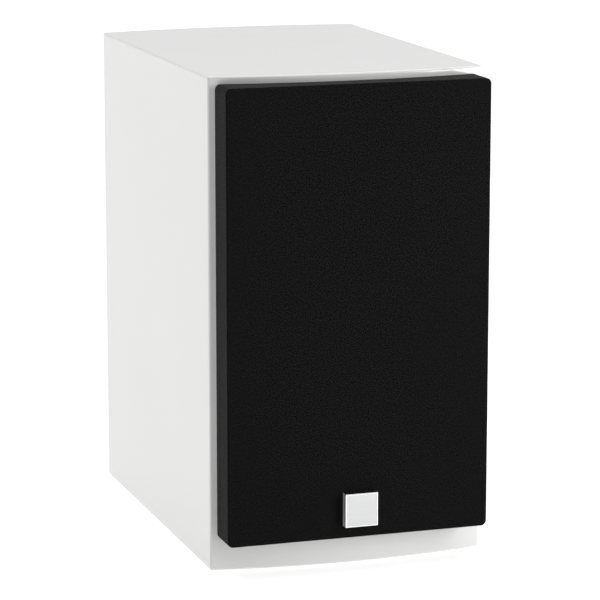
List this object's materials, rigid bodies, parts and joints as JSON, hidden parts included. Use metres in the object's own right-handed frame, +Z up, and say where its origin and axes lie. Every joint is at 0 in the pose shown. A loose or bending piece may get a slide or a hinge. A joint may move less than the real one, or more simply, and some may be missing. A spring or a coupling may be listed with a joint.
{
  "type": "bookshelf speaker",
  "caption": "Two-way bookshelf loudspeaker: gloss white bowed cabinet, removable black cloth grille with a small metal badge, rear reflex port and binding posts.",
  "frame": {"origin": "under the middle of the bounding box, on the surface that the rubber feet stand on", "axes": "+Z up, -Y towards the front (the grille), +X to the right as seen from the front"},
  "size_m": [0.201, 0.3356, 0.35],
  "materials": {
    "lacquered_panel": "gloss white lacquer on fibreboard",
    "bare_fibreboard": "raw",
    "damping_felt": "felted",
    "black_rubber": "matte",
    "gasket_foam": "foamed",
    "moulded_black": "fine texture",
    "grille_cloth": "knitted",
    "badge_rim": "polished",
    "badge_face": "satin",
    "cast_alloy": "powder coated",
    "plated_steel": "zinc plated",
    "black_steel": "black oxide",
    "ferrite": "ground ceramic",
    "paper_cone": "pressed fibre",
    "dust_cap": "satin",
    "coil_former": "thin foil",
    "copper_wire": "enamelled",
    "treated_cloth": "resin treated",
    "silk_dome": "coated",
    "gold_plate": "gold plated",
    "red_knob": "translucent moulding",
    "black_knob": "moulding",
    "circuit_board": "laminate",
    "capacitor_film": "wrapped film",
    "resistor_cement": "ceramic",
    "red_insulation": "smooth",
    "black_insulation": "smooth"
  },
  "bodies": {
    "cabinet": {"black_wires": "black_insulation", "board_standoffs": "plated_steel", "bottom_panel": "lacquered_panel", "capacitors": "capacitor_film", "crossover_board": "circuit_board", "damping_pads": "damping_felt", "front_baffle": "lacquered_panel", "grille_grommets": "black_rubber", "inductors": "copper_wire", "left_side_panel": "lacquered_panel", "negative_post": "gold_plate", "port_inner_flare": "moulded_black", "port_tube": "moulded_black", "positive_post": "gold_plate", "post_nuts": "gold_plate", "rear_panel": "lacquered_panel", "red_wires": "red_insulation", "resistors": "resistor_cement", "right_side_panel": "lacquered_panel", "rubber_feet": "black_rubber", "solder_lugs": "gold_plate", "terminal_cup": "moulded_black", "terminal_gasket": "gasket_foam", "terminal_screws": "black_steel", "top_panel": "lacquered_panel", "tweeter_carrier_ring": "moulded_black", "tweeter_faceplate": "moulded_black", "tweeter_gasket": "gasket_foam", "tweeter_magnet": "ferrite", "tweeter_pole_yoke": "plated_steel", "tweeter_rear_chamber": "moulded_black", "tweeter_screws": "black_steel", "tweeter_top_plate": "plated_steel", "window_brace": "bare_fibreboard", "woofer_basket": "cast_alloy", "woofer_gasket": "gasket_foam", "woofer_magnet": "ferrite", "woofer_pole_yoke": "plated_steel", "woofer_screws": "black_steel", "woofer_terminal_strip": "moulded_black", "woofer_top_plate": "plated_steel"},
    "grille": {"grille_frame": "moulded_black", "grille_cloth": "grille_cloth", "grille_pegs": "moulded_black", "badge_block": "badge_rim", "badge_plate": "badge_face"},
    "woofer_cone_group": {"woofer_cone": "paper_cone", "woofer_dust_cap": "dust_cap", "woofer_coil_former": "coil_former", "woofer_voice_coil": "copper_wire", "woofer_surround": "black_rubber", "woofer_spider": "treated_cloth", "woofer_tinsel_leads": "copper_wire"},
    "tweeter_dome_group": {"tweeter_dome": "silk_dome", "tweeter_voice_coil": "copper_wire", "tweeter_surround": "silk_dome"},
    "positive_clamp": {"positive_washer": "gold_plate"},
    "positive_nut": {"positive_knob": "red_knob"},
    "negative_clamp": {"negative_washer": "gold_plate"},
    "negative_nut": {"negative_knob": "black_knob"}
  },
  "joints": [
    {"name": "grille_pull", "type": "slide", "parent": "cabinet", "child": "grille", "axis": [0, -1, 0], "range_m": [0, 0.06]},
    {"name": "woofer_excursion", "type": "slide", "parent": "cabinet", "child": "woofer_cone_group", "axis": [0, -1, 0], "range_m": [-0.005, 0.005], "stiffness_N_per_m": 1200, "deforming": ["woofer_surround", "woofer_spider", "woofer_tinsel_leads"]},
    {"name": "tweeter_excursion", "type": "slide", "parent": "cabinet", "child": "tweeter_dome_group", "axis": [0, -1, 0], "range_m": [-0.0005, 0.0005], "stiffness_N_per_m": 1500, "deforming": ["tweeter_surround"]},
    {"name": "positive_clamp_lift", "type": "slide", "parent": "cabinet", "child": "positive_clamp", "axis": [0, 1, 0], "range_m": [0, 0.004]},
    {"name": "positive_knob_turn", "type": "hinge", "parent": "positive_clamp", "child": "positive_nut", "pos_m": [0.02, 0.15388, 0.092], "axis": [0, 1, 0], "range_deg": [0, 1441]},
    {"name": "negative_clamp_lift", "type": "slide", "parent": "cabinet", "child": "negative_clamp", "axis": [0, 1, 0], "range_m": [0, 0.004]},
    {"name": "negative_knob_turn", "type": "hinge", "parent": "negative_clamp", "child": "negative_nut", "pos_m": [-0.02, 0.15388, 0.092], "axis": [0, 1, 0], "range_deg": [0, 1441]}
  ],
  "couplings": [
    {"joint": "positive_knob_turn", "follows": "positive_clamp_lift", "rad_per_m": 6283.2},
    {"joint": "negative_knob_turn", "follows": "negative_clamp_lift", "rad_per_m": 6283.2}
  ]
}
